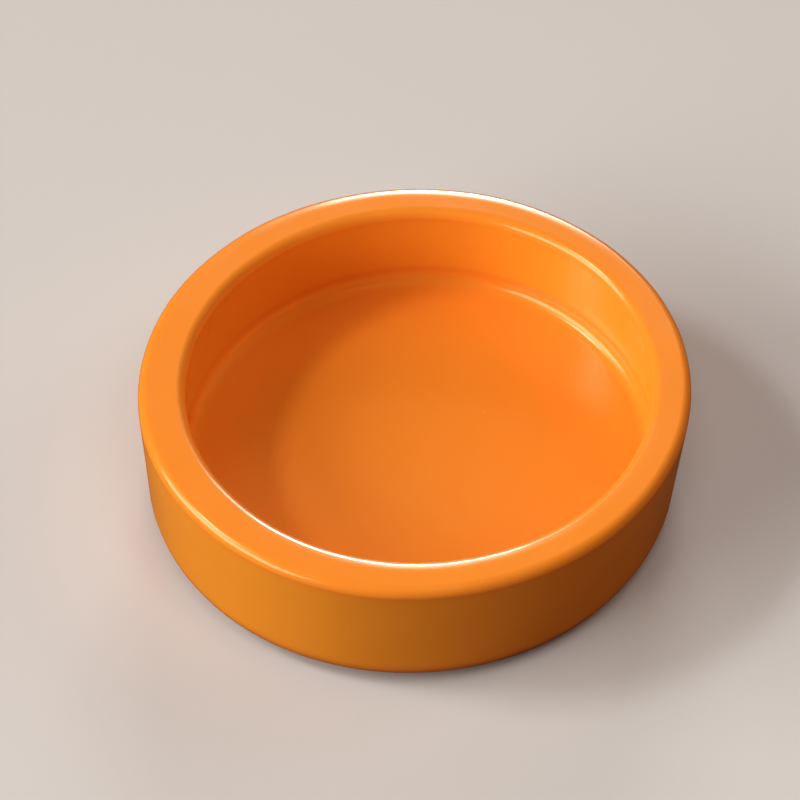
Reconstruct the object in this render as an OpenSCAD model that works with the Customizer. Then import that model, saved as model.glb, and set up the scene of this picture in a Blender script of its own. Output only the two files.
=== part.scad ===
// Heavy glazed evaporating dish: a shallow round ceramic vessel with a thick flat rim, a flat floor
// and a low foot ring. The clay body and each of its glaze coats are separate solids that meet face to face.
// Frame: +Z is up, and the origin is the centre of the plane that the foot ring stands on.

/* [Dish] */
// Diameter over the glazed rim, the widest place
outer_d = 90; // [88:1:96]
// Height from the standing plane to the top of the rim
height = 25; // [24:0.5:28]
// Degrees by which the outside wall leans in on its way down
wall_taper = 3.5; // [2:0.5:4.5]
// Radius of the turn from the outside wall to the underside
heel_r = 4.6; // [4:0.1:5]

/* [Rim] */
// Radius of the rim's outer edge
rim_outer_r = 1.6; // [1.2:0.1:2.4]
// Radius of the rim's inner edge
rim_inner_r = 1.6; // [1:0.1:2]

/* [Well] */
// Diameter of the well at the rim's inner edge, its narrowest place
well_d = 75.8; // [70:0.2:77]
// Depth of the well from the rim to the floor
well_depth = 17.2; // [14:0.2:17.6]
// Degrees by which the well's wall leans out on its way down
well_lean = 3.5; // [0.5:0.5:4]
// Radius of the cove between the well's wall and its floor
cove_r = 2.4; // [1.5:0.1:4]

/* [Foot] */
// Diameter over the outside of the foot ring
foot_d = 74; // [66:1:74]
// Width of the foot ring
foot_w = 5; // [4:0.2:7]
// Height that the foot ring stands proud of the underside
foot_step = 0.6; // [0.5:0.1:1]
// Depth of the hollow inside the foot ring, to its glaze
hollow_depth = 1.6; // [1.2:0.1:2.2]
// Radius of the foot ring's two standing edges
foot_edge_r = 0.5; // [0.2:0.1:0.5]

/* [Glaze] */
// Thickness of every glaze coat
glaze_t = 0.4; // [0.2:0.05:0.5]

/* [Hidden] */
$fn = 180;

outer_r = outer_d / 2;
well_r = well_d / 2;
foot_r = foot_d / 2;
floor_z = height - well_depth;

// Each slanted wall is a straight run between two arcs. Its ends sit a hair inside the arcs, so that
// they cut one another cleanly and leave no sliver where they touch.
hair = 0.0005;

// Outside wall: from the rim's outer edge down to the heel
wall_out = [cos(wall_taper), -sin(wall_taper)];
rim_centre = [outer_r - rim_outer_r, height - rim_outer_r];
heel_z = foot_step + heel_r;
heel_run = rim_centre[1] - heel_z;
heel_x = rim_centre[0] + (rim_outer_r - heel_r) / wall_out[0] - heel_run * tan(wall_taper);
heel_centre = [heel_x, heel_z];

// Well wall: from the rim's inner edge down to the cove
well_out = [cos(well_lean), sin(well_lean)];
lip_centre = [well_r + rim_inner_r, height - rim_inner_r];
cove_z = floor_z + cove_r;
cove_run = lip_centre[1] - cove_z;
cove_x = lip_centre[0] - (rim_inner_r + cove_r) / well_out[0] + cove_run * tan(well_lean);
cove_centre = [cove_x, cove_z];

// Hollow inside the foot ring: its ceiling turns down into its side in a small cove.
hollow_r = foot_r - foot_w;
hollow_cove_r = hollow_depth / 2;
// Height at which the glaze in the hollow is wiped back
hollow_wipe_z = 0.7;

clay = [0.86, 0.80, 0.70];
orange_glaze = [0.93, 0.48, 0.13];
// How far a cutter runs past the face that it opens
over = 1;

// Half outline of the dish with no well and no foot ring, set in from the glazed surface by t
module outside(t) {
    polygon([
        [0, foot_step + t],
        [heel_x, foot_step + t],
        heel_centre + (heel_r - t - hair) * wall_out,
        rim_centre + (rim_outer_r - t - hair) * wall_out,
        [rim_centre[0], height - t],
        [0, height - t],
    ]);
    translate(heel_centre) circle(heel_r - t);
    translate(rim_centre) circle(rim_outer_r - t);
}

// Half outline of the well, cut deeper than the glazed surface by t
module well(t) {
    wall_foot = cove_centre + (cove_r + t - hair) * well_out;
    wall_top = lip_centre - (rim_inner_r - t - hair) * well_out;
    // The run carries on up a little past the rim's arc, into the cutter that opens the mouth.
    past_top = wall_top + (wall_top - wall_foot) / 10;
    polygon([
        [0, floor_z - t],
        [cove_x, floor_z - t],
        wall_foot,
        past_top,
        [0, past_top[1]],
    ]);
    translate(cove_centre) circle(cove_r + t);
    difference() {
        polygon([
            [0, lip_centre[1] - rim_inner_r],
            lip_centre - well_r / 2 * well_out,
            lip_centre,
            [lip_centre[0], height + over],
            [0, height + over],
        ]);
        translate(lip_centre) circle(rim_inner_r - t);
    }
}

// Half outline of the foot ring, carried up into the dish as far as the centre of the heel's arc
module foot_ring() {
    square([foot_r - foot_edge_r, heel_z]);
    translate([0, foot_edge_r]) square([foot_r, heel_z - foot_edge_r]);
    translate([foot_r - foot_edge_r, foot_edge_r]) circle(foot_edge_r);
}

// Half outline of the hollow inside the foot ring, cut deeper than the glazed surface by t
module hollow(t) {
    side = hollow_r + t;
    ceiling = hollow_depth + t;
    cove = hollow_cove_r + t;
    edge = [side + foot_edge_r, foot_edge_r];
    translate([0, -over]) square([side - cove, ceiling + over]);
    translate([0, -over]) square([side, ceiling - cove + over]);
    translate([side - cove, ceiling - cove]) circle(cove);
    difference() {
        translate([0, -over]) square(edge + [0, over]);
        translate(edge) circle(foot_edge_r);
    }
}

// Clay body: everything inside the glaze, and the bare foot ring
module fired_body() {
    color(clay) rotate_extrude() difference() {
        union() {
            outside(glaze_t);
            foot_ring();
        }
        well(glaze_t);
        hollow(glaze_t);
    }
}

// Liner coat: floor, cove and wall of the well, up to where the rim turns flat
module well_glaze() {
    color(orange_glaze) rotate_extrude() difference() {
        intersection() {
            well(glaze_t);
            square([lip_centre[0], height]);
        }
        well(0);
    }
}

// Dipped coat: flat rim, outside wall and heel, wiped off where the heel turns level
module outer_glaze() {
    color(orange_glaze) rotate_extrude() difference() {
        outside(0);
        outside(glaze_t);
        square(heel_centre);
        translate([0, heel_z]) square([lip_centre[0], height]);
    }
}

// Brushed coat: ceiling and upper side of the hollow inside the foot ring
module base_glaze() {
    color(orange_glaze) rotate_extrude() difference() {
        hollow(glaze_t);
        hollow(0);
        translate([0, -over]) square([foot_r, over + hollow_wipe_z]);
    }
}

fired_body();
well_glaze();
outer_glaze();
base_glaze();
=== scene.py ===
"""Heavy orange glazed evaporating dish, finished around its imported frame.

The clay body and its three glaze coats are turned as separate closed shells that meet face to face. One
firing function bends them all together, so that they stay in contact while the dish gets the small lean and
waviness that a kiln gives. Meshes are worked out in millimetres and stored in metres.
"""

import logging
import math
from dataclasses import dataclass, field
from enum import Enum

import bpy
import numpy as np
from mathutils import Matrix, Vector


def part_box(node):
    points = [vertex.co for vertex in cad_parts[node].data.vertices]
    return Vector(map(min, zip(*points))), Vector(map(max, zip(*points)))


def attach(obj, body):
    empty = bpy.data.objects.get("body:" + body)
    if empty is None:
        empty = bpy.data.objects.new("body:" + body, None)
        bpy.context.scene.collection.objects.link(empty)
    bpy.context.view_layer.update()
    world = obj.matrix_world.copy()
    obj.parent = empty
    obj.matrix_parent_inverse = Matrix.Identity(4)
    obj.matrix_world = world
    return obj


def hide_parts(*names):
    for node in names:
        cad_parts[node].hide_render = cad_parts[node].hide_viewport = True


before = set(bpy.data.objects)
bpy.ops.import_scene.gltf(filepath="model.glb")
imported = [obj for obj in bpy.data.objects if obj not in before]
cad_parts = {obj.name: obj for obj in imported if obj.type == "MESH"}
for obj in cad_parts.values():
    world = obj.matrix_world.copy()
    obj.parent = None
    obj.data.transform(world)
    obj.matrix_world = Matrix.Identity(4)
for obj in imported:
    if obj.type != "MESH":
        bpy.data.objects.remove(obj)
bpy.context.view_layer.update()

LOG = logging.getLogger("dish")
MM = 0.001
TAU = 2 * math.pi
# Directions on a half outline, as angles: OUT points away from the axis, and a turn past DOWN ends at -IN.
DOWN, OUT, UP, IN = -math.pi / 2, 0.0, math.pi / 2, math.pi
# The end of the lip's turn is drawn finer than the rest, because two coats meet there.
LAST_TURN = math.radians(6)
# Points closer together than this, in millimetres, are one point.
SAME_PLACE = 1e-6
# Places of the sockets on Blender's Mix node when it mixes colours
MIX_SHARE, MIX_FIRST, MIX_SECOND, MIX_RESULT = 0, 6, 7, 2

Point = tuple[float, float]
Span = tuple[float, float]
Colour = tuple[float, float, float]


# ------------------------------------------------------------------------------------------------ sizes


@dataclass(frozen=True)
class DishSizes:
    """Sizes of the dish in millimetres, as the potter would gauge them."""

    outer_r: float
    height: float
    glaze_t: float
    lip_x: float
    floor_z: float
    foot_step: float
    hollow_r: float
    hollow_depth: float
    wipe_z: float
    wall_taper: float = math.radians(3.5)
    well_lean: float = math.radians(3.5)
    heel_r: float = 4.6
    rim_outer_r: float = 1.6
    rim_inner_r: float = 1.6
    cove_r: float = 2.4
    foot_w: float = 5.0
    foot_edge_r: float = 0.5

    @classmethod
    def from_frame(cls) -> "DishSizes":
        """Reads every size that a node's box gives.

        Returns:
            The dish's sizes, with the turned radii left at the values the dish is drawn to.
        """
        body_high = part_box("fired_body")[1] / MM
        outer_low, outer_high = (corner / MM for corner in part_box("outer_glaze"))
        well_low, well_high = (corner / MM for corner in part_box("well_glaze"))
        base_low, base_high = (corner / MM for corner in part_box("base_glaze"))
        glaze_t = outer_high.z - body_high.z
        return cls(
            outer_r=outer_high.x,
            height=outer_high.z,
            glaze_t=glaze_t,
            lip_x=well_high.x,
            floor_z=well_low.z + glaze_t,
            foot_step=outer_low.z,
            hollow_r=base_high.x - glaze_t,
            hollow_depth=base_high.z - glaze_t,
            wipe_z=base_low.z,
        )

    @property
    def rim_centre(self) -> Point:
        """Centre of the arc on the rim's outer edge."""
        return self.outer_r - self.rim_outer_r, self.height - self.rim_outer_r

    @property
    def lip_centre(self) -> Point:
        """Centre of the arc on the rim's inner edge."""
        return self.lip_x, self.height - self.rim_inner_r

    @property
    def heel_centre(self) -> Point:
        """Centre of the turn from the outside wall to the underside.

        Returns:
            The centre from which the turn meets the slanted wall without a corner.
        """
        rim_x, rim_z = self.rim_centre
        z = self.foot_step + self.heel_r
        shift = (self.rim_outer_r - self.heel_r) / math.cos(self.wall_taper)
        return rim_x + shift - (rim_z - z) * math.tan(self.wall_taper), z

    @property
    def cove_centre(self) -> Point:
        """Centre of the cove between the well's wall and its floor.

        Returns:
            The centre from which the cove meets the slanted wall without a corner.
        """
        lip_x, lip_z = self.lip_centre
        z = self.floor_z + self.cove_r
        shift = (self.rim_inner_r + self.cove_r) / math.cos(self.well_lean)
        return lip_x - shift + (lip_z - z) * math.tan(self.well_lean), z

    @property
    def foot_r(self) -> float:
        """Outer radius of the foot ring."""
        return self.hollow_r + self.foot_w


# --------------------------------------------------------------------------------------------- outlines


class Glaze(Enum):
    """How glaze lies on a stretch of outline, as the number the finishes read."""

    THIN = -1.0
    EVEN = 0.0
    POOLED = 1.0


@dataclass
class Outline:
    """Half outline of a turned shape: radius and height of each point, in millimetres.

    Every point also notes how thick the glaze lies there, and a corner keeps a crisp edge.
    """

    step: float = 1.0
    arc_step: float = math.radians(6)
    points: list[Point] = field(default_factory=list)
    glaze: list[float] = field(default_factory=list)
    corners: set[int] = field(default_factory=set)

    def start(self, point: Point) -> "Outline":
        """Puts down the first point.

        Args:
            point: Where the outline starts.

        Returns:
            The outline, so that calls can follow one another.
        """
        self.points.append(point)
        self.glaze.append(Glaze.EVEN.value)
        return self

    def line(self, end: Point, lies: Glaze = Glaze.EVEN, finer: int = 1) -> "Outline":
        """Draws a straight run in even steps.

        Args:
            end: Where the run stops.
            lies: How the glaze lies on it.
            finer: How many times smaller than usual its steps are.

        Returns:
            The outline, so that calls can follow one another.
        """
        begin = self.points[-1]
        count = max(1, round(math.dist(begin, end) * finer / self.step))
        for i in range(1, count + 1):
            share = i / count
            self.points.append(tuple(a + (b - a) * share for a, b in zip(begin, end)))
            self.glaze.append(lies.value)
        return self

    def arc(self, centre: Point, radii: Point, begin: float, end: float,
            lies: Glaze = Glaze.EVEN, run: Glaze = Glaze.EVEN, finer: int = 1) -> "Outline":
        """Draws an arc of a circle or ellipse, joined on by a straight run where it starts elsewhere.

        Args:
            centre: Centre of the arc.
            radii: Its radii along the radius and the height.
            begin: Angle at which it starts.
            end: Angle at which it stops.
            lies: How the glaze lies on it.
            run: How the glaze lies on the straight run.
            finer: How many times smaller than usual its steps are.

        Returns:
            The outline, so that calls can follow one another.
        """
        count = max(2, round(abs(end - begin) * finer / self.arc_step))
        for i in range(count + 1):
            angle = begin + (end - begin) * i / count
            place = (centre[0] + radii[0] * math.cos(angle), centre[1] + radii[1] * math.sin(angle))
            if i > 0:
                self.points.append(place)
                self.glaze.append(lies.value)
            elif math.dist(self.points[-1], place) > SAME_PLACE:
                self.line(place, run, finer)
        return self

    def retrace(self, face: "Outline", coated: bool) -> "Outline":
        """Adds another outline's points, last one first.

        Args:
            face: The other outline.
            coated: Whether glaze lies here as it does on that face. It lies evenly where it isn't.

        Returns:
            The outline, so that calls can follow one another.
        """
        self.points += reversed(face.points)
        self.glaze += reversed(face.glaze) if coated else [Glaze.EVEN.value] * len(face.points)
        return self

    def shorten(self) -> "Outline":
        """Takes the last point off again.

        Returns:
            The outline, so that calls can follow one another.
        """
        self.points.pop()
        self.glaze.pop()
        return self

    def corner(self) -> "Outline":
        """Makes the last point a crisp corner."""
        self.corners.add(len(self.points) - 1)
        return self

    def pooling(self, spread: float = 1.3) -> np.ndarray:
        """How the glaze lies at each point once it has flowed a little.

        Args:
            spread: How far it flows along the surface, in millimetres.

        Returns:
            One number for each point, from -1 where the glaze is thin to 1 where it has pooled.
        """
        places = np.array(self.points)
        run = np.concatenate([[0.0], np.cumsum(np.linalg.norm(np.diff(places, axis=0), axis=1))])
        reach = np.exp(-(((run[:, None] - run[None, :]) / spread) ** 2))
        weight = reach * np.gradient(run)[None, :]
        return (weight @ np.array(self.glaze)) / weight.sum(axis=1)


def outside_face(outline: Outline, dish: DishSizes, inset: float) -> Outline:
    """Adds the dish's outside from the flat rim down to the underside.

    Args:
        outline: The outline so far, which ends on the rim.
        dish: Sizes of the dish.
        inset: How far inside the glazed surface the face lies.

    Returns:
        The outline, which now ends where the heel turns level.
    """
    rim, heel = dish.rim_outer_r - inset, dish.heel_r - inset
    outline.arc(dish.rim_centre, (rim, rim), UP, -dish.wall_taper, finer=2)
    return outline.arc(dish.heel_centre, (heel, heel), -dish.wall_taper, DOWN, run=Glaze.THIN)


def well_face(outline: Outline, dish: DishSizes, inset: float) -> Outline:
    """Adds the well from the middle of its floor up to the flat rim.

    Args:
        outline: An empty outline.
        dish: Sizes of the dish.
        inset: How far inside the glazed surface the face lies.

    Returns:
        The outline, which now ends where the rim turns flat.
    """
    cove, lip = dish.cove_r + inset, dish.rim_inner_r - inset
    outline.start((0.0, dish.floor_z - inset))
    outline.arc(dish.cove_centre, (cove, cove), DOWN, dish.well_lean, Glaze.POOLED)
    outline.arc(dish.lip_centre, (lip, lip), IN + dish.well_lean, UP + LAST_TURN, run=Glaze.THIN, finer=2)
    return outline.arc(dish.lip_centre, (lip, lip), UP + LAST_TURN, UP, finer=8)


def hollow_face(outline: Outline, dish: DishSizes, inset: float) -> Outline:
    """Adds the hollow inside the foot ring, from its side up to the middle of its ceiling.

    Args:
        outline: The outline so far, which ends on the hollow's side.
        dish: Sizes of the dish.
        inset: How far inside the glazed surface the face lies.

    Returns:
        The outline, which now ends on the axis.
    """
    side, ceiling = dish.hollow_r + inset, dish.hollow_depth + inset
    cove = dish.hollow_depth / 2 + inset
    outline.arc((side - cove, ceiling - cove), (cove, cove), OUT, UP, Glaze.POOLED)
    return outline.line((0.0, ceiling))


# ----------------------------------------------------------------------------------------------- firing


@dataclass(frozen=True)
class Firing:
    """What the kiln and the potter's hands did to the turned shape, in millimetres.

    The outside has slumped sideways towards its foot, the well was turned a little off centre, and the
    surfaces wave very slightly, in waves given by height and length. The rim was rubbed softer on its inner
    edge in front and on its outer edge behind. The outer coat's wiped edge wanders, by the sum of the given
    turns round the dish.
    """

    dish: DishSizes
    foot_lean: float = -1.1
    well_shift: float = 0.63
    waves: tuple[Span, ...] = ((0.055, 26.0), (0.022, 11.0))
    waves_each: int = 14
    rubbed: float = 0.30
    rubbed_width: float = 1.15
    edge_wander: float = 0.45
    wander_turns: tuple[int, ...] = (2, 3, 5, 8, 13, 21)
    seed: int = 7

    def settle(self, places: np.ndarray) -> np.ndarray:
        """Moves points as the firing did, the same way for every piece.

        Args:
            places: Points in millimetres, one row each.

        Returns:
            The moved points.
        """
        dish, moved = self.dish, places.copy()
        radius, height = np.hypot(places[:, 0], places[:, 1]), places[:, 2]
        in_well = smooth(height, dish.hollow_depth + dish.glaze_t, dish.floor_z - dish.glaze_t)
        in_well *= 1 - smooth(radius, dish.lip_x, dish.rim_centre[0])
        lean = self.foot_lean * (1 - height / dish.height)
        moved[:, 0] += lean + (self.well_shift - lean) * in_well
        rise = smooth(height, 0.0, dish.heel_r)
        moved += self.wave(places) * rise[:, None]
        moved[:, 2] -= self.rub(radius, height, places[:, 1] / np.maximum(radius, 1.0))
        return moved

    def rub(self, radius: np.ndarray, height: np.ndarray, behind: np.ndarray) -> np.ndarray:
        """How far the rim was rubbed down.

        Args:
            radius: Each point's distance from the axis.
            height: Its height.
            behind: 1 at the very back of the dish, -1 at the very front.

        Returns:
            How far each point has sunk.
        """
        dish, width = self.dish, self.rubbed_width
        lip_x, rim_x = dish.lip_x, dish.rim_centre[0]
        inner = smooth(radius, lip_x + width, lip_x - width) * np.clip(-behind, 0, 1) ** 2
        outer = smooth(radius, rim_x - width, rim_x + width) * np.clip(behind, 0, 1) ** 2
        high = smooth(height, dish.height / 2, dish.height - dish.rim_inner_r)
        return self.rubbed * high * (inner + outer)

    def wave(self, places: np.ndarray) -> np.ndarray:
        """Gentle waviness through the whole dish.

        Args:
            places: Points in millimetres, one row each.

        Returns:
            How far each point moves along X, Y and Z.
        """
        draw = np.random.default_rng(self.seed)
        total = np.zeros_like(places)
        for size, length in self.waves:
            for _ in range(self.waves_each):
                heading = draw.normal(size=3)
                heading *= TAU / length / np.linalg.norm(heading)
                push = draw.normal(size=3) * size / math.sqrt(self.waves_each)
                phase = draw.uniform(0, TAU)
                total += np.sin(places @ heading + phase)[:, None] * push
        return total

    def wander(self, angle: np.ndarray) -> np.ndarray:
        """How far the outer coat's wiped edge has crept.

        Args:
            angle: Angles round the dish.

        Returns:
            How far it has crept at each of them, from 0 to the most.
        """
        draw = np.random.default_rng(self.seed + 1)
        total = np.zeros_like(angle)
        for turns in self.wander_turns:
            total += np.sin(turns * angle + draw.uniform(0, TAU)) / math.sqrt(turns)
        return self.edge_wander * (0.5 + 0.5 * np.tanh(total))


def smooth(value: np.ndarray, low: float, high: float) -> np.ndarray:
    """Rises gently from 0 where value is low to 1 where it is high."""
    share = np.clip((value - low) / (high - low), 0.0, 1.0)
    return share * share * (3 - 2 * share)


# ------------------------------------------------------------------------------------------------ wheel


@dataclass(frozen=True)
class Wheel:
    """Turns an outline round the dish's axis into a closed mesh."""

    firing: Firing
    most: int = 256
    fewest: int = 8
    shortest: float = 0.35

    def counts(self, radii: np.ndarray) -> list[int]:
        """How many points each ring gets: fewer near the axis, halving from ring to ring.

        Args:
            radii: The rings' radii in millimetres.

        Returns:
            The counts, with 1 for a point on the axis.
        """
        found = []
        for radius in radii:
            count = self.most
            while count > self.fewest and TAU * radius / count < self.shortest:
                count //= 2
            found.append(1 if radius < SAME_PLACE else count)
        return found

    def turn(self, name: str, outline: Outline, closed: bool) -> bpy.types.Object:
        """Builds a closed shell from an outline.

        Args:
            name: Name of the piece.
            outline: Its half outline. It runs from axis to axis unless it is closed.
            closed: Whether the outline's end joins its start, as on a ring.

        Returns:
            The new object, with smooth faces, crisp corners and the glaze's lie on its points.
        """
        places = np.array(outline.points)
        counts = self.counts(places[:, 0])
        starts = np.concatenate([[0], np.cumsum(counts)])
        points = []
        for (radius, height), count in zip(places, counts):
            angle = TAU * np.arange(count) / count
            points.append(np.stack([radius * np.cos(angle), radius * np.sin(angle),
                                    np.full(count, height)], axis=1))
        rings = np.repeat(np.arange(len(counts)), counts)
        faces = []
        last = len(counts) if closed else len(counts) - 1
        for i in range(last):
            j = (i + 1) % len(counts)
            faces += bridge(starts[i], counts[i], starts[j], counts[j])
        return self.finish(name, outline, np.concatenate(points), rings, faces)

    def finish(self, name: str, outline: Outline, points: np.ndarray, rings: np.ndarray,
               faces: list[tuple[int, ...]]) -> bpy.types.Object:
        """Fires the points and makes the mesh.

        Args:
            name: Name of the piece.
            outline: The outline that was turned.
            points: Its points in millimetres, before firing.
            rings: The place in the outline of each point.
            faces: The faces, all wound the same way.

        Returns:
            The new object.
        """
        fired = self.firing.settle(points)
        if shell_volume(fired, faces) < 0:
            faces = [face[::-1] for face in faces]
        mesh = bpy.data.meshes.new(name)
        mesh.from_pydata((fired * MM).tolist(), [], faces)
        mesh.shade_smooth()
        ends = np.empty(len(mesh.edges) * 2, np.int32)
        mesh.edges.foreach_get("vertices", ends)
        first, second = rings[ends[0::2]], rings[ends[1::2]]
        crisp = (first == second) & np.isin(first, sorted(outline.corners))
        mesh.attributes.new("sharp_edge", "BOOLEAN", "EDGE").data.foreach_set("value", crisp)
        lie = outline.pooling()[rings].astype(np.float32)
        mesh.attributes.new("pooling", "FLOAT", "POINT").data.foreach_set("value", lie)
        mesh.validate()
        return hang(name, mesh)


def hang(name: str, data: bpy.types.ID) -> bpy.types.Object:
    """Puts a mesh, lamp or lens into the scene.

    Args:
        name: Name of the new object.
        data: What it shows.

    Returns:
        The new object.
    """
    placed = bpy.data.objects.new(name, data)
    bpy.context.scene.collection.objects.link(placed)
    return placed


def bridge(start_a: int, count_a: int, start_b: int, count_b: int) -> list[tuple[int, ...]]:
    """Faces between two rings, where one may be a single point or have twice the points.

    Args:
        start_a: Number of the first ring's first point.
        count_a: How many points the first ring has.
        start_b: Number of the second ring's first point.
        count_b: How many points the second ring has.

    Returns:
        The faces, wound the same way whichever ring is the finer.
    """
    if count_a < count_b:
        return [face[::-1] for face in bridge(start_b, count_b, start_a, count_a)]
    faces = []
    for i in range(count_a):
        a, a_next = start_a + i, start_a + (i + 1) % count_a
        if count_b == 1:
            faces.append((a, a_next, start_b))
        elif count_a == count_b:
            b, b_next = start_b + i, start_b + (i + 1) % count_b
            faces.append((a, a_next, b_next, b))
        else:
            b, b_next = start_b + i // 2, start_b + (i // 2 + 1) % count_b
            if i % 2:
                faces += [(a, b_next, b), (a, a_next, b_next)]
            else:
                faces.append((a, a_next, b))
    return faces


def shell_volume(points: np.ndarray, faces: list[tuple[int, ...]]) -> float:
    """Volume inside a closed shell.

    Args:
        points: Its points, one row each.
        faces: Its faces.

    Returns:
        The volume, negative if the faces point inwards.
    """
    threes = [(f[0], f[i], f[i + 1]) for f in faces for i in range(1, len(f) - 1)]
    a, b, c = (points[list(column)] for column in zip(*threes))
    return float(np.einsum("ij,ij->i", a, np.cross(b, c)).sum() / 6)


# --------------------------------------------------------------------------------------------- finishes


def opaque(colour: Colour) -> tuple[float, float, float, float]:
    """A colour with full alpha, as a socket takes it."""
    return (*colour, 1.0)


@dataclass
class Board:
    """Lays out the nodes of one material, room or node group from left to right."""

    tree: bpy.types.NodeTree
    pitch: int = 180
    placed: int = 0

    def add(self, kind: str, **settings: object) -> bpy.types.Node:
        """Adds a node.

        Args:
            kind: Blender's name for the node, without its ShaderNode prefix.
            **settings: The node's own settings.

        Returns:
            The new node.
        """
        node = self.tree.nodes.new(kind if kind.startswith("Node") else "ShaderNode" + kind)
        node.location = (self.placed * self.pitch, 0)
        self.placed += 1
        for setting, value in settings.items():
            setattr(node, setting, value)
        return node

    def feed(self, target: bpy.types.NodeSocket, source: object) -> None:
        """Fills an input.

        Args:
            target: The input.
            source: The socket to join it to, or the plain value to set it to.
        """
        if isinstance(source, bpy.types.NodeSocket):
            self.tree.links.new(source, target)
        else:
            target.default_value = source

    def sum(self, operation: str, *sources: object) -> bpy.types.NodeSocket:
        """Works out a number.

        Args:
            operation: The arithmetic to do.
            *sources: Sockets or plain numbers, in order.

        Returns:
            The socket that holds the answer.
        """
        node = self.add("Math", operation=operation)
        for socket, source in zip(node.inputs, sources):
            self.feed(socket, source)
        return node.outputs[0]

    def between(self, value: object, low: object, high: object) -> bpy.types.NodeSocket:
        """Rises smoothly from 0 to 1.

        Args:
            value: Socket or number to read.
            low: Its value where the answer is 0.
            high: Its value where the answer is 1.

        Returns:
            The socket that holds the answer.
        """
        node = self.add("MapRange", interpolation_type="SMOOTHSTEP")
        for name, source in (("Value", value), ("From Min", low), ("From Max", high)):
            self.feed(node.inputs[name], source)
        return node.outputs["Result"]

    def blend(self, share: object, first: object, second: object) -> bpy.types.NodeSocket:
        """Mixes two colours.

        Args:
            share: How much of the second colour to take.
            first: The colour at 0.
            second: The colour at 1.

        Returns:
            The socket that holds the mixed colour.
        """
        node = self.add("Mix", data_type="RGBA")
        for place, source in ((MIX_SHARE, share), (MIX_FIRST, first), (MIX_SECOND, second)):
            self.feed(node.inputs[place], source)
        return node.outputs[MIX_RESULT]

    def noise(self, place: bpy.types.NodeSocket, scale: object, detail: float,
              rough: float = 0.5) -> bpy.types.NodeSocket:
        """Soft random pattern.

        Args:
            place: Where on the surface.
            scale: Patterns per metre.
            detail: How many finer patterns lie on it.
            rough: How strong the finer patterns are.

        Returns:
            The socket that holds it, from 0 to 1.
        """
        node = self.add("TexNoise")
        for name, source in (("Vector", place), ("Scale", scale), ("Detail", detail), ("Roughness", rough)):
            self.feed(node.inputs[name], source)
        return node.outputs["Fac"]

    def length(self, vector: bpy.types.NodeSocket) -> bpy.types.NodeSocket:
        """Length of a vector.

        Args:
            vector: The socket that holds the vector.

        Returns:
            The socket that holds its length.
        """
        node = self.add("VectorMath", operation="LENGTH")
        self.feed(node.inputs[0], vector)
        return node.outputs["Value"]

    def use(self, group: bpy.types.NodeTree, **values: object) -> bpy.types.Node:
        """Places a node group.

        Args:
            group: The group.
            **values: Its inputs by name, with _ for each space.

        Returns:
            The group's node.
        """
        node = self.add("Group", node_tree=group)
        for name, value in values.items():
            self.feed(node.inputs[name.replace("_", " ")], value)
        return node

    def relief(self, shader: bpy.types.Node, height: bpy.types.NodeSocket) -> None:
        """Gives a shader's surface a relief.

        Args:
            shader: The shader.
            height: The socket that holds the relief's height in millimetres.
        """
        bump = self.add("Bump")
        self.feed(bump.inputs["Distance"], MM)
        self.feed(bump.inputs["Height"], height)
        self.feed(shader.inputs["Normal"], bump.outputs["Normal"])

    def lit_or_seen(self, lit: bpy.types.Node, seen: bpy.types.Node) -> bpy.types.NodeSocket:
        """Shows one shader to the camera and another to every other ray of light.

        Args:
            lit: The shader that the other rays meet.
            seen: The shader that the camera meets.

        Returns:
            The socket that holds them both.
        """
        camera_ray = self.add("LightPath").outputs["Is Camera Ray"]
        mix = self.add("MixShader")
        for socket, source in zip(mix.inputs, (camera_ray, lit.outputs[0], seen.outputs[0])):
            self.feed(socket, source)
        return mix.outputs[0]

    def end(self, kind: str, surface: bpy.types.NodeSocket) -> None:
        """Joins the finished shader to a new output node of the given kind."""
        self.feed(self.add(kind).inputs["Surface"], surface)


def new_group(
    name: str, inputs: dict[str, str], outputs: dict[str, str]
) -> tuple[Board, dict[str, bpy.types.NodeSocket], bpy.types.Node]:
    """Starts a node group.

    Args:
        name: Name of the effect.
        inputs: Kind of each input by name.
        outputs: Kind of each output by name.

    Returns:
        The board to lay it out on, its inputs as sockets by name, and its output node.
    """
    tree = bpy.data.node_groups.new(name, "ShaderNodeTree")
    for way, sockets in (("INPUT", inputs), ("OUTPUT", outputs)):
        for socket, kind in sockets.items():
            tree.interface.new_socket(name=socket, in_out=way, socket_type="NodeSocket" + kind)
    board = Board(tree)
    given = board.add("NodeGroupInput")
    return board, {socket: given.outputs[socket] for socket in inputs}, board.add("NodeGroupOutput")


def glaze_depth_group() -> bpy.types.NodeTree:
    """Colour of a glaze by how thick it lies, with faint clouds in it.

    Returns:
        The node group.
    """
    board, given, out = new_group(
        "glaze depth",
        {"Place": "Vector", "Pooling": "Float", "Thin": "Color", "Full": "Color", "Pooled": "Color",
         "Cloud Scale": "Float", "Cloud Strength": "Float"},
        {"Colour": "Color", "Depth": "Float"},
    )
    cloud = board.noise(given["Place"], given["Cloud Scale"], detail=3.0, rough=0.55)
    cloud = board.sum("MULTIPLY", board.sum("SUBTRACT", cloud, 0.5), given["Cloud Strength"])
    depth = board.sum("ADD", given["Pooling"], cloud)
    paler = board.between(depth, Glaze.EVEN.value, Glaze.THIN.value)
    deeper = board.between(depth, Glaze.EVEN.value, Glaze.POOLED.value)
    colour = board.blend(paler, given["Full"], given["Thin"])
    board.feed(out.inputs["Colour"], board.blend(deeper, colour, given["Pooled"]))
    board.feed(out.inputs["Depth"], depth)
    return board.tree


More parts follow.
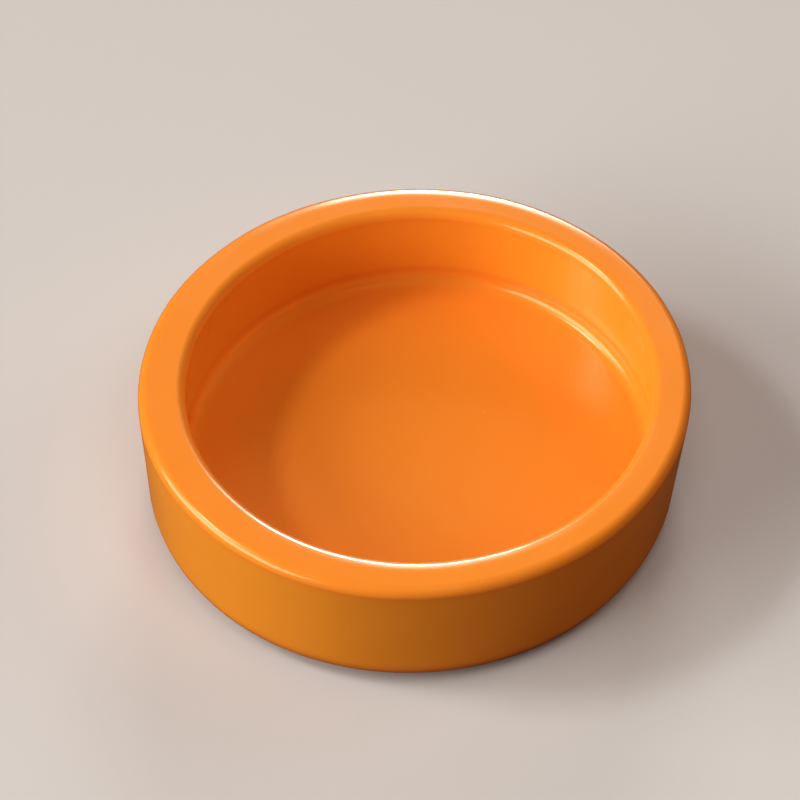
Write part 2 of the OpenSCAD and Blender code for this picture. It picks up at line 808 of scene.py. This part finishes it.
def skin_group() -> bpy.types.NodeTree:
    """Height of a fired skin in millimetres: broad ripples under a fine peel.

    Returns:
        The node group.
    """
    board, given, out = new_group(
        "fired skin",
        {"Place": "Vector", "Ripple Scale": "Float", "Ripple": "Float", "Peel Scale": "Float",
         "Peel": "Float"},
        {"Height": "Float", "Mottle": "Float"},
    )
    ripple = board.noise(given["Place"], given["Ripple Scale"], detail=1.0)
    peel = board.noise(given["Place"], given["Peel Scale"], detail=3.0, rough=0.6)
    height = board.sum("ADD", board.sum("MULTIPLY", ripple, given["Ripple"]),
                       board.sum("MULTIPLY", peel, given["Peel"]))
    board.feed(out.inputs["Height"], height)
    board.feed(out.inputs["Mottle"], board.sum("SUBTRACT", peel, 0.5))
    return board.tree


def specks_group() -> bpy.types.NodeTree:
    """Scattered round specks: pinholes in a glaze, or iron and grog in a clay.

    Returns:
        The node group.
    """
    board, given, out = new_group(
        "specks",
        {"Place": "Vector", "Scale": "Float", "Share": "Float", "Radius": "Float"},
        {"Mask": "Float"},
    )
    cells = board.add("TexVoronoi", feature="F1")
    for name, source in (("Vector", given["Place"]), ("Scale", given["Scale"]), ("Randomness", 1.0)):
        board.feed(cells.inputs[name], source)
    lot = board.add("SeparateColor")
    board.feed(lot.inputs[0], cells.outputs["Color"])
    chosen = board.sum("LESS_THAN", lot.outputs[0], given["Share"])
    size = board.sum("MULTIPLY", given["Radius"], board.sum("ADD", lot.outputs[1], 0.5))
    disc = board.between(cells.outputs["Distance"], size, board.sum("MULTIPLY", size, 0.5))
    board.feed(out.inputs["Mask"], board.sum("MULTIPLY", disc, chosen))
    return board.tree


@dataclass
class Effects:
    """The node groups that more than one finish uses, each built once."""

    depth: bpy.types.NodeTree = field(default_factory=glaze_depth_group)
    skin: bpy.types.NodeTree = field(default_factory=skin_group)
    specks: bpy.types.NodeTree = field(default_factory=specks_group)


def new_material(name: str) -> tuple[bpy.types.Material, Board, bpy.types.Node]:
    """Starts a material.

    Args:
        name: Name of the finish.

    Returns:
        The material, the board to lay it out on, and its shader.
    """
    material = bpy.data.materials.new(name)
    material.use_nodes = True
    material.node_tree.nodes.clear()
    board = Board(material.node_tree)
    return material, board, board.add("BsdfPrincipled")


@dataclass(frozen=True)
class GlazeFinish:
    """Orange glaze with a satin body and a thin glossy skin, and pinholes darkened with painted shade.

    Scales are in patterns per metre, heights and depths in millimetres, and the pits' radius in shares of
    the space between them.
    """

    name: str
    thin: Colour = (0.90, 0.310, 0.022)
    full: Colour = (0.88, 0.258, 0.022)
    pooled: Colour = (0.88, 0.254, 0.019)
    cloud_scale: float = 70.0
    cloud_strength: float = 0.35
    sheen_tint: Colour = (1.0, 0.70, 0.22)
    roughness: float = 0.25
    mottle: float = 0.10
    coat: float = 0.42
    coat_roughness: float = 0.15
    coat_ior: float = 1.5
    ripple_scale: float = 140.0
    ripple: float = 0.014
    peel_scale: float = 1500.0
    peel: float = 0.0016
    pit_scale: float = 130.0
    pit_share: float = 0.02
    pit_radius: float = 0.022
    pit_depth: float = 0.02
    # The pits' colour below is painted shade: the glaze's orange as it looks in shade, laid into each
    # pinhole.
    pit_shade_strength: float = 0.55
    pit_shade_colour: Colour = (0.33, 0.07, 0.012)

    def material(self, effects: Effects) -> bpy.types.Material:
        """Makes the glaze.

        Args:
            effects: The shared node groups.

        Returns:
            The material.
        """
        material, board, shader = new_material(self.name)
        place = board.add("TexCoord").outputs["Object"]
        lie = board.add("Attribute", attribute_name="pooling").outputs["Fac"]
        depth = board.use(effects.depth, Place=place, Pooling=lie, Thin=opaque(self.thin),
                          Full=opaque(self.full), Pooled=opaque(self.pooled), Cloud_Scale=self.cloud_scale,
                          Cloud_Strength=self.cloud_strength)
        skin = board.use(effects.skin, Place=place, Ripple_Scale=self.ripple_scale, Ripple=self.ripple,
                         Peel_Scale=self.peel_scale, Peel=self.peel)
        pits = board.use(effects.specks, Place=place, Scale=self.pit_scale, Share=self.pit_share,
                         Radius=self.pit_radius).outputs["Mask"]
        # Painted shade in the pinholes: how much of the shaded orange each pit takes.
        pit_shade_mix = board.sum("MULTIPLY", pits, self.pit_shade_strength)
        mottle = board.sum("MULTIPLY", skin.outputs["Mottle"], self.mottle)
        sunk = board.sum("MULTIPLY", pits, self.pit_depth)
        looks = {
            "Base Color": board.blend(pit_shade_mix, depth.outputs["Colour"], opaque(self.pit_shade_colour)),
            "Roughness": board.sum("ADD", mottle, self.roughness),
            "Specular Tint": opaque(self.sheen_tint),
            "Coat Weight": self.coat,
            "Coat Roughness": self.coat_roughness,
            "Coat IOR": self.coat_ior,
        }
        for name, source in looks.items():
            board.feed(shader.inputs[name], source)
        board.relief(shader, board.sum("SUBTRACT", skin.outputs["Height"], sunk))
        board.end("OutputMaterial", shader.outputs[0])
        return material


@dataclass(frozen=True)
class ClayFinish:
    """Bare fired clay with a dry grain, iron specks and the marks of turning.

    Scales are in patterns per metre, heights and the rings' pitch in millimetres, and the iron specks'
    radius in shares of the space between them.
    """

    name: str
    pale: Colour = (0.66, 0.53, 0.37)
    toasted: Colour = (0.52, 0.36, 0.21)
    toast_scale: float = 160.0
    toast_span: Span = (0.35, 0.7)
    iron: Colour = (0.16, 0.08, 0.04)
    iron_scale: float = 900.0
    iron_share: float = 0.16
    iron_radius: float = 0.22
    iron_strength: float = 0.7
    roughness: float = 0.86
    mottle: float = 0.2
    ripple_scale: float = 500.0
    ripple: float = 0.03
    peel_scale: float = 4200.0
    peel: float = 0.05
    ring_pitch: float = 0.55
    ring_height: float = 0.008

    def material(self, effects: Effects) -> bpy.types.Material:
        """Makes the clay.

        Args:
            effects: The shared node groups.

        Returns:
            The material.
        """
        material, board, shader = new_material(self.name)
        place = board.add("TexCoord").outputs["Object"]
        toast = board.between(board.noise(place, self.toast_scale, detail=4.0, rough=0.6), *self.toast_span)
        specks = board.use(effects.specks, Place=place, Scale=self.iron_scale, Share=self.iron_share,
                           Radius=self.iron_radius)
        iron = board.sum("MULTIPLY", specks.outputs["Mask"], self.iron_strength)
        colour = board.blend(iron, board.blend(toast, opaque(self.pale), opaque(self.toasted)),
                             opaque(self.iron))
        board.feed(shader.inputs["Base Color"], colour)
        skin = board.use(effects.skin, Place=place, Ripple_Scale=self.ripple_scale, Ripple=self.ripple,
                         Peel_Scale=self.peel_scale, Peel=self.peel)
        mottle = board.sum("MULTIPLY", skin.outputs["Mottle"], self.mottle)
        board.feed(shader.inputs["Roughness"], board.sum("ADD", mottle, self.roughness))
        rings = board.sum("MULTIPLY", self.turning_marks(board, place), self.ring_height)
        board.relief(shader, board.sum("ADD", skin.outputs["Height"], rings))
        board.end("OutputMaterial", shader.outputs[0])
        return material

    def turning_marks(self, board: Board, place: bpy.types.NodeSocket) -> bpy.types.NodeSocket:
        """Rings round the axis, as the turning tool leaves them.

        Args:
            board: The material's board.
            place: Where on the surface.

        Returns:
            The socket that holds them, from -1 to 1.
        """
        flat = board.add("VectorMath", operation="MULTIPLY")
        board.feed(flat.inputs[0], place)
        board.feed(flat.inputs[1], (1.0, 1.0, 0.0))
        turns = board.sum("MULTIPLY", board.length(flat.outputs[0]), TAU / (self.ring_pitch * MM))
        return board.sum("SINE", turns)


@dataclass(frozen=True)
class BenchPaint:
    """Pale matt paint, darkened far from the dish by painted shade, that throws little light back on it.

    Reaches are in metres from the dish.
    """

    name: str
    pale: Colour = (0.60, 0.59, 0.57)
    cloud_scale: float = 9.0
    cloudy_share: float = 0.97
    # Painted shade far from the dish: the share of the pale colour left out there, and the reach over which
    # it darkens.
    far_shade_share: float = 0.36
    far_shade_span: Span = (0.35, 1.2)
    bounce: Colour = (0.16, 0.07, 0.035)
    roughness: float = 0.9
    gloss: float = 0.1

    def material(self) -> bpy.types.Material:
        """Makes the paint.

        Returns:
            The material.
        """
        material, board, seen = new_material(self.name)
        place = board.add("TexCoord").outputs["Object"]
        near, cloudy, far = (opaque(tuple(share * part for part in self.pale))
                             for share in (1.0, self.cloudy_share, self.far_shade_share))
        colour = board.blend(board.noise(place, self.cloud_scale, detail=2.0), near, cloudy)
        # Painted shade: the paint darkens far from the dish, as if the lamps lit it less there.
        colour = board.blend(board.between(board.length(place), *self.far_shade_span), colour, far)
        lit = board.add("BsdfPrincipled")
        for shader, paint in ((seen, colour), (lit, opaque(self.bounce))):
            board.feed(shader.inputs["Base Color"], paint)
            board.feed(shader.inputs["Roughness"], self.roughness)
            board.feed(shader.inputs["Specular IOR Level"], self.gloss)
        board.end("OutputMaterial", board.lit_or_seen(lit, seen))
        return material


# ----------------------------------------------------------------------------------------------- pieces


@dataclass
class ClayBody:
    """The turned clay: everything inside the glaze, and the bare foot ring."""

    dish: DishSizes
    name: str = "clay_body"

    def outline(self) -> Outline:
        """Half outline from the floor of the well, over the rim and foot, to the ceiling of the hollow.

        Returns:
            The outline, from axis to axis.
        """
        dish, edge = self.dish, self.dish.foot_edge_r
        bare_side = dish.hollow_r + dish.glaze_t
        drawn = well_face(Outline(), dish, dish.glaze_t)
        outside_face(drawn, dish, dish.glaze_t)
        drawn.line((dish.foot_r, dish.foot_step + dish.glaze_t)).corner()
        drawn.arc((dish.foot_r - edge, edge), (edge, edge), OUT, DOWN)
        drawn.arc((bare_side + edge, edge), (edge, edge), DOWN, -IN)
        return hollow_face(drawn, dish, dish.glaze_t)

    def build(self, wheel: Wheel, finish: bpy.types.Material) -> bpy.types.Object:
        """Turns and dresses the body."""
        piece = wheel.turn(self.name, self.outline(), closed=False)
        return dress(piece, finish, "fired_body")


@dataclass
class WellGlaze:
    """The coat poured into the well, up to where the rim turns flat."""

    dish: DishSizes
    name: str = "well_glaze_coat"

    def outline(self) -> Outline:
        """Half outline: up the glazed face and back down the clay.

        Returns:
            The outline, from axis to axis.
        """
        dish = self.dish
        drawn = well_face(Outline(), dish, 0.0).corner()
        drawn.line((dish.lip_x, dish.height - dish.glaze_t)).corner()
        return drawn.retrace(well_face(Outline(), dish, dish.glaze_t).shorten(), coated=False)

    def build(self, wheel: Wheel, finish: bpy.types.Material) -> bpy.types.Object:
        """Turns and dresses the coat."""
        piece = wheel.turn(self.name, self.outline(), closed=False)
        return dress(piece, finish, "well_glaze")


@dataclass
class OuterGlaze:
    """The coat the rim and the outside were dipped in, wiped back above the foot."""

    dish: DishSizes
    name: str = "outer_glaze_coat"

    def outline(self) -> Outline:
        """Half outline: out over the rim, down the wall, round the wiped bead and back up the clay.

        Returns:
            The closed outline.
        """
        dish, thick = self.dish, self.dish.glaze_t
        drawn = outside_face(Outline().start((dish.lip_x, dish.height)).corner(), dish, 0.0)
        bead_centre = (dish.heel_centre[0], dish.foot_step + thick)
        drawn.arc(bead_centre, (thick, thick), DOWN, -IN, Glaze.POOLED).corner()
        clay = outside_face(Outline().start((dish.lip_x, dish.height - thick)), dish, thick)
        return drawn.retrace(clay, coated=False).corner()

    def build(self, wheel: Wheel, finish: bpy.types.Material) -> bpy.types.Object:
        """Turns the coat, lets its wiped edge wander and dresses it.

        Args:
            wheel: The wheel it is turned on.
            finish: Its material.

        Returns:
            The piece.
        """
        piece = wheel.turn(self.name, self.outline(), closed=True)
        heel_x = self.dish.heel_centre[0]
        points = read_points(piece)
        radius, angle = np.hypot(points[:, 0], points[:, 1]), np.arctan2(points[:, 1], points[:, 0])
        near = smooth(radius, heel_x + self.dish.heel_r / 2, heel_x)
        near *= smooth(points[:, 2], self.dish.heel_r, self.dish.foot_step)
        creep = near * wheel.firing.wander(angle)
        points[:, 0] -= creep * np.cos(angle)
        points[:, 1] -= creep * np.sin(angle)
        write_points(piece, points)
        return dress(piece, finish, "outer_glaze")


@dataclass
class BaseGlaze:
    """The coat brushed into the hollow inside the foot ring."""

    dish: DishSizes
    name: str = "base_glaze_coat"

    def outline(self) -> Outline:
        """Half outline: up the clay to the ceiling and back down the glazed face to the wiped bead.

        Returns:
            The closed outline.
        """
        dish = self.dish
        side, wipe = dish.hollow_r + dish.glaze_t, dish.wipe_z
        drawn = hollow_face(Outline().start((side, dish.foot_edge_r)).corner(), dish, dish.glaze_t)
        drawn.retrace(hollow_face(Outline().start((dish.hollow_r, wipe)), dish, 0.0), coated=True)
        bead_radii = (dish.glaze_t, wipe - dish.foot_edge_r)
        return drawn.arc((side, wipe), bead_radii, IN, IN - DOWN, Glaze.POOLED).shorten()

    def build(self, wheel: Wheel, finish: bpy.types.Material) -> bpy.types.Object:
        """Turns and dresses the coat."""
        piece = wheel.turn(self.name, self.outline(), closed=True)
        return dress(piece, finish, "base_glaze")


def read_points(piece: bpy.types.Object) -> np.ndarray:
    """Reads a piece's points.

    Args:
        piece: The piece.

    Returns:
        Its points in millimetres, one row each.
    """
    flat = np.empty(len(piece.data.vertices) * 3, np.float32)
    piece.data.vertices.foreach_get("co", flat)
    return flat.reshape(-1, 3).astype(float) / MM


def write_points(piece: bpy.types.Object, points: np.ndarray) -> None:
    """Puts a piece's points, given in millimetres, back into its mesh."""
    piece.data.vertices.foreach_set("co", (points * MM).astype(np.float32).ravel())
    piece.data.update()


def dress(piece: bpy.types.Object, finish: bpy.types.Material, node: str) -> bpy.types.Object:
    """Gives a piece its finish and its place in the assembly.

    Args:
        piece: The piece.
        finish: Its material.
        node: The node of the frame that it stands for.

    Returns:
        The piece.
    """
    piece.data.materials.append(finish)
    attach(piece, "root")
    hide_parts(node)
    return piece


# ----------------------------------------------------------------------------------------------- studio


@dataclass(frozen=True)
class SoftBox:
    """A rectangular lamp that faces the dish. Lengths are in metres and angles in degrees."""

    name: str
    heading: float
    elevation: float
    distance: float
    width: float
    height: float
    power: float
    tint: Colour = (1.0, 1.0, 1.0)
    diffuse: bool = True
    glossy: bool = True

    def place(self, target: Vector) -> None:
        """Hangs the lamp.

        Args:
            target: The point it faces.
        """
        lamp = bpy.data.lights.new(self.name, "AREA")
        lamp.shape = "RECTANGLE"
        lamp.size, lamp.size_y = self.width, self.height
        lamp.energy, lamp.color = self.power, self.tint
        hung = hang(self.name, lamp)
        turn, rise = math.radians(self.heading), math.radians(self.elevation)
        away = Vector((math.cos(turn) * math.cos(rise), math.sin(turn) * math.cos(rise), math.sin(rise)))
        hung.location = target + away * self.distance
        hung.rotation_euler = away.to_track_quat("Z", "Y").to_euler()
        hung.visible_camera = False
        hung.visible_diffuse, hung.visible_glossy = self.diffuse, self.glossy


@dataclass(frozen=True)
class BenchTop:
    """Wide round bench top that the dish stands on, in metres, with finer rings near the dish."""

    radius: float = 1.6
    first_ring: float = 0.02
    rings: int = 40
    around: int = 96
    paint: BenchPaint = BenchPaint("bench paint")

    def build(self) -> None:
        """Lays and paints the bench top."""
        angle = TAU * np.arange(self.around) / self.around
        points = [(0.0, 0.0, 0.0)]
        for radius in np.geomspace(self.first_ring, self.radius, self.rings):
            points += [(radius * math.cos(a), radius * math.sin(a), 0.0) for a in angle]
        faces = bridge(1, self.around, 0, 1)
        for ring in range(1, self.rings):
            start = 1 + ring * self.around
            faces += bridge(start, self.around, start - self.around, self.around)
        mesh = bpy.data.meshes.new("bench_top")
        mesh.from_pydata(points, [], faces)
        mesh.materials.append(self.paint.material())
        hang("bench_top", mesh)


@dataclass(frozen=True)
class Room:
    """Pale wall behind the bench, and the faint warm fill that it gives."""

    wall: Colour = (0.62, 0.62, 0.62)
    fill: Colour = (0.115, 0.036, 0.014)

    def build(self) -> None:
        """Sets up the room."""
        world = bpy.data.worlds.new("room")
        world.use_nodes = True
        world.node_tree.nodes.clear()
        board = Board(world.node_tree)
        lit, seen = board.add("Background"), board.add("Background")
        board.feed(lit.inputs["Color"], opaque(self.fill))
        board.feed(seen.inputs["Color"], opaque(self.wall))
        board.end("OutputWorld", board.lit_or_seen(lit, seen))
        bpy.context.scene.world = world


@dataclass(frozen=True)
class Camera:
    """Camera in front of the dish, looking down into it.

    The lens and sensor are in camera millimetres, the aim in the dish's millimetres, the distance and the
    clipping in metres, and the angles in degrees.
    """

    lens: float = 147.9
    sensor: float = 36.0
    distance: float = 0.5461
    elevation: float = 47.87
    roll: float = 1.473
    aim: tuple[float, float, float] = (-2.46, 5.52, 13.47)
    clip: Span = (0.01, 20.0)

    def build(self) -> None:
        """Stands the camera up and makes it the scene's own."""
        lens = bpy.data.cameras.new("camera")
        lens.lens, lens.sensor_width = self.lens, self.sensor
        lens.clip_start, lens.clip_end = self.clip
        camera = hang("camera", lens)
        rise = math.radians(self.elevation)
        back = Vector((0.0, -math.cos(rise), math.sin(rise)))
        right = Vector((1.0, 0.0, 0.0))
        axes = Matrix((right, back.cross(right), back)).transposed()
        turned = Matrix.Rotation(-math.radians(self.roll), 3, back) @ axes
        stand = Vector(self.aim) * MM + back * self.distance
        camera.matrix_world = Matrix.Translation(stand) @ turned.to_4x4()
        bpy.context.scene.camera = camera


@dataclass(frozen=True)
class Studio:
    """Bench, lamps, room and camera.

    Each lamp is given as its name, heading, elevation, distance, width, height, power and tint. The glint
    adds only highlights, and the fill and top lamps add none.
    """

    dish: DishSizes
    bench: BenchTop = BenchTop()
    lamps: tuple[SoftBox, ...] = (
        SoftBox("key_lamp", 196, 25, 2.4, 2.60, 1.12, 67.0, (1.0, 0.99, 0.95)),
        SoftBox("high_lamp", 174, 47, 2.4, 0.60, 0.34, 16.4),
        SoftBox("back_lamp", 84, 20, 2.0, 0.72, 1.00, 15.0),
        SoftBox("back_glint", 86, 16, 2.0, 0.52, 0.60, 27.0, diffuse=False),
        SoftBox("fill_lamp", 16, 32, 2.4, 1.20, 1.00, 9.6, (1.0, 0.85, 0.62), glossy=False),
        SoftBox("top_lamp", 285, 66, 0.35, 0.16, 0.16, 0.28, glossy=False),
    )
    room: Room = Room()
    camera: Camera = Camera()

    def build(self) -> None:
        """Sets everything up round the middle of the dish."""
        self.bench.build()
        middle = Vector((0, 0, self.dish.height * MM / 2))
        for lamp in self.lamps:
            lamp.place(middle)
        self.room.build()
        self.camera.build()
        bpy.context.scene.view_settings.view_transform = "Standard"


def main() -> None:
    """Builds the studio and every piece of the dish."""
    logging.basicConfig(level=logging.INFO, format="%(message)s")
    dish = DishSizes.from_frame()
    Studio(dish).build()
    wheel, effects = Wheel(Firing(dish)), Effects()
    clay = ClayFinish("fired clay").material(effects)
    liner = GlazeFinish("liner glaze").material(effects)
    dipped = GlazeFinish("dipped glaze").material(effects)
    brushed = GlazeFinish("brushed glaze", ripple=0.05, cloud_strength=0.9).material(effects)
    for part, finish in ((ClayBody(dish), clay), (WellGlaze(dish), liner), (OuterGlaze(dish), dipped),
                         (BaseGlaze(dish), brushed)):
        piece = part.build(wheel, finish)
        LOG.info("%s: %d faces", piece.name, len(piece.data.polygons))


if __name__ == "__main__":
    main()
